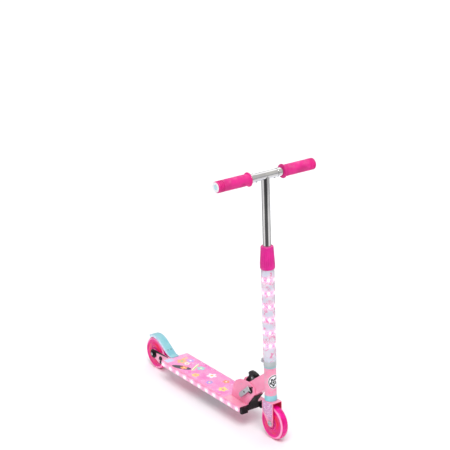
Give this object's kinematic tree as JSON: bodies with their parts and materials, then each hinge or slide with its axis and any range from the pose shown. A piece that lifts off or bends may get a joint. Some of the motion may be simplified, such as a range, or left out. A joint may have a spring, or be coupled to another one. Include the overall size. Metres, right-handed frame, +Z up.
{
  "type": "kick scooter",
  "caption": "Folding two-wheeled kick scooter for a child, with a flat deck, fender brake, light strips, a lit steering column and a height-adjustable T-bar.",
  "frame": {"origin": "on the ground under the middle of the wheelbase", "axes": "+X forward, +Y to the rider's left, +Z up; the column leans 3 degrees back from +Z"},
  "size_m": [0.68, 0.334, 0.792],
  "materials": {
    "pink_paint": "gloss bubble-gum pink powder coat",
    "magenta_tyre": "translucent magenta urethane",
    "core_plastic": "pale pink moulded wheel core",
    "steel": "zinc plated steel",
    "chrome": "polished chrome tube",
    "teal_plastic": "teal moulded plastic",
    "grey_plastic": "grey moulded plastic",
    "black_plastic": "black glossy moulded plastic",
    "magenta_rubber": "magenta soft rubber",
    "magenta_plastic": "magenta moulded plastic",
    "clear_plastic": "clear polycarbonate with a print",
    "lens_plastic": "frosted light strip lens",
    "grip_sheet": "printed rough grip sheet",
    "circuit": "white circuit board",
    "led": "light-emitting diode",
    "white_plastic": "white moulded plastic",
    "cell": "small round cell",
    "bronze": "sintered bush"
  },
  "bodies": {
    "deck": {"deck_shell": "pink_paint", "deck_grip_sheet": "grip_sheet", "deck_front_cap": "black_plastic", "deck_light_lenses": "lens_plastic", "deck_light_boards": "circuit", "deck_lights": "led", "battery_box": "grey_plastic", "battery_lid": "grey_plastic", "deck_cells": "cell", "deck_screws": "steel", "fold_bracket": "pink_paint", "bracket_front_cover": "black_plastic", "latch_catch_pins": "black_plastic", "frame_rivets": "black_plastic", "hinge_skewer": "steel", "cam_washer": "black_plastic", "rear_dropouts": "pink_paint", "fender_hinge": "steel", "rear_axle": "steel", "rear_axle_rings": "black_plastic"},
    "quick_release": {"quick_release_lever": "steel"},
    "deck_switch": {"deck_switch_button": "teal_plastic"},
    "fender": {"fender_brake": "teal_plastic"},
    "rear_wheel": {"rear_tyre": "magenta_tyre", "rear_wheel_core": "core_plastic", "rear_wheel_bearings": "steel", "rear_wheel_lights": "led"},
    "neck": {"neck": "pink_paint", "head_tube": "pink_paint", "hinge_bush": "bronze", "headset_bearings": "steel", "lower_headset_cover": "teal_plastic", "latch_hinge": "steel"},
    "latch": {"latch_lever": "black_plastic"},
    "column": {"fork": "pink_paint", "steerer_tube": "steel", "column_tube": "steel", "column_clamp": "grey_plastic", "clamp_bolt": "steel", "light_casing": "clear_plastic", "light_carrier": "white_plastic", "column_lights": "led", "column_cell_carrier": "white_plastic", "column_cells": "cell", "upper_headset_cover": "teal_plastic", "collar_ferrule": "white_plastic", "front_axle": "steel"},
    "column_switch": {"column_switch_button": "teal_plastic"},
    "front_wheel": {"front_tyre": "magenta_tyre", "front_wheel_core": "core_plastic", "front_wheel_bearings": "steel", "front_wheel_lights": "led"},
    "lock_collar": {"lock_collar": "magenta_plastic"},
    "handlebar": {"t_bar": "chrome", "handle_tubes": "chrome", "right_grip": "magenta_rubber", "left_grip": "magenta_rubber", "grip_plugs": "white_plastic"},
    "right_snap": {"right_snap_button": "chrome"},
    "left_snap": {"left_snap_button": "chrome"}
  },
  "joints": [
    {"name": "fold_hinge", "type": "hinge", "parent": "deck", "child": "neck", "pos_m": [0.2, 0, 0.118], "axis": [0, -1, 0], "range_deg": [0, 87]},
    {"name": "latch_pivot", "type": "hinge", "parent": "neck", "child": "latch", "pos_m": [0.197, 0, 0.1545], "axis": [0, 1, 0], "range_deg": [0, 15], "stiffness_Nm_per_rad": 0.15, "springref_deg": -17.19},
    {"name": "quick_release_pivot", "type": "hinge", "parent": "deck", "child": "quick_release", "pos_m": [0.1986, -0.0243, 0.124], "axis": [-0.6691, 0, 0.7431], "range_deg": [0, 110]},
    {"name": "steering", "type": "hinge", "parent": "neck", "child": "column", "pos_m": [0.26844, 0, 0.16903], "axis": [-0.0523, 0, 0.9986], "continuous": true},
    {"name": "height_slide", "type": "slide", "parent": "column", "child": "handlebar", "axis": [-0.0523, 0, 0.9986], "range_m": [-0.15, 0]},
    {"name": "collar_twist", "type": "hinge", "parent": "column", "child": "lock_collar", "pos_m": [0.24908, 0, 0.53853], "axis": [-0.0523, 0, 0.9986], "range_deg": [0, 90]},
    {"name": "front_wheel_spin", "type": "hinge", "parent": "column", "child": "front_wheel", "pos_m": [0.29, 0, 0.05], "axis": [0, 1, 0], "continuous": true},
    {"name": "rear_wheel_spin", "type": "hinge", "parent": "deck", "child": "rear_wheel", "pos_m": [-0.29, 0, 0.05], "axis": [0, 1, 0], "continuous": true},
    {"name": "fender_press", "type": "hinge", "parent": "deck", "child": "fender", "pos_m": [-0.2072, 0, 0.057], "axis": [0, -1, 0], "range_deg": [0, 3.5], "stiffness_Nm_per_rad": 4, "springref_deg": -2.86},
    {"name": "column_switch_press", "type": "slide", "parent": "column", "child": "column_switch", "axis": [0.9986, 0, 0.0523], "range_m": [0, 0.001], "stiffness_N_per_m": 600, "springref_m": -0.0005},
    {"name": "deck_switch_press", "type": "slide", "parent": "deck", "child": "deck_switch", "axis": [0, 0, 1], "range_m": [0, 0.0015], "stiffness_N_per_m": 600, "springref_m": -0.0005},
    {"name": "right_snap_press", "type": "slide", "parent": "handlebar", "child": "right_snap", "axis": [-0.0523, 0, 0.9986], "range_m": [0, 0.003], "stiffness_N_per_m": 600, "springref_m": -0.0005},
    {"name": "left_snap_press", "type": "slide", "parent": "handlebar", "child": "left_snap", "axis": [-0.0523, 0, 0.9986], "range_m": [0, 0.003], "stiffness_N_per_m": 600, "springref_m": -0.0005}
  ]
}
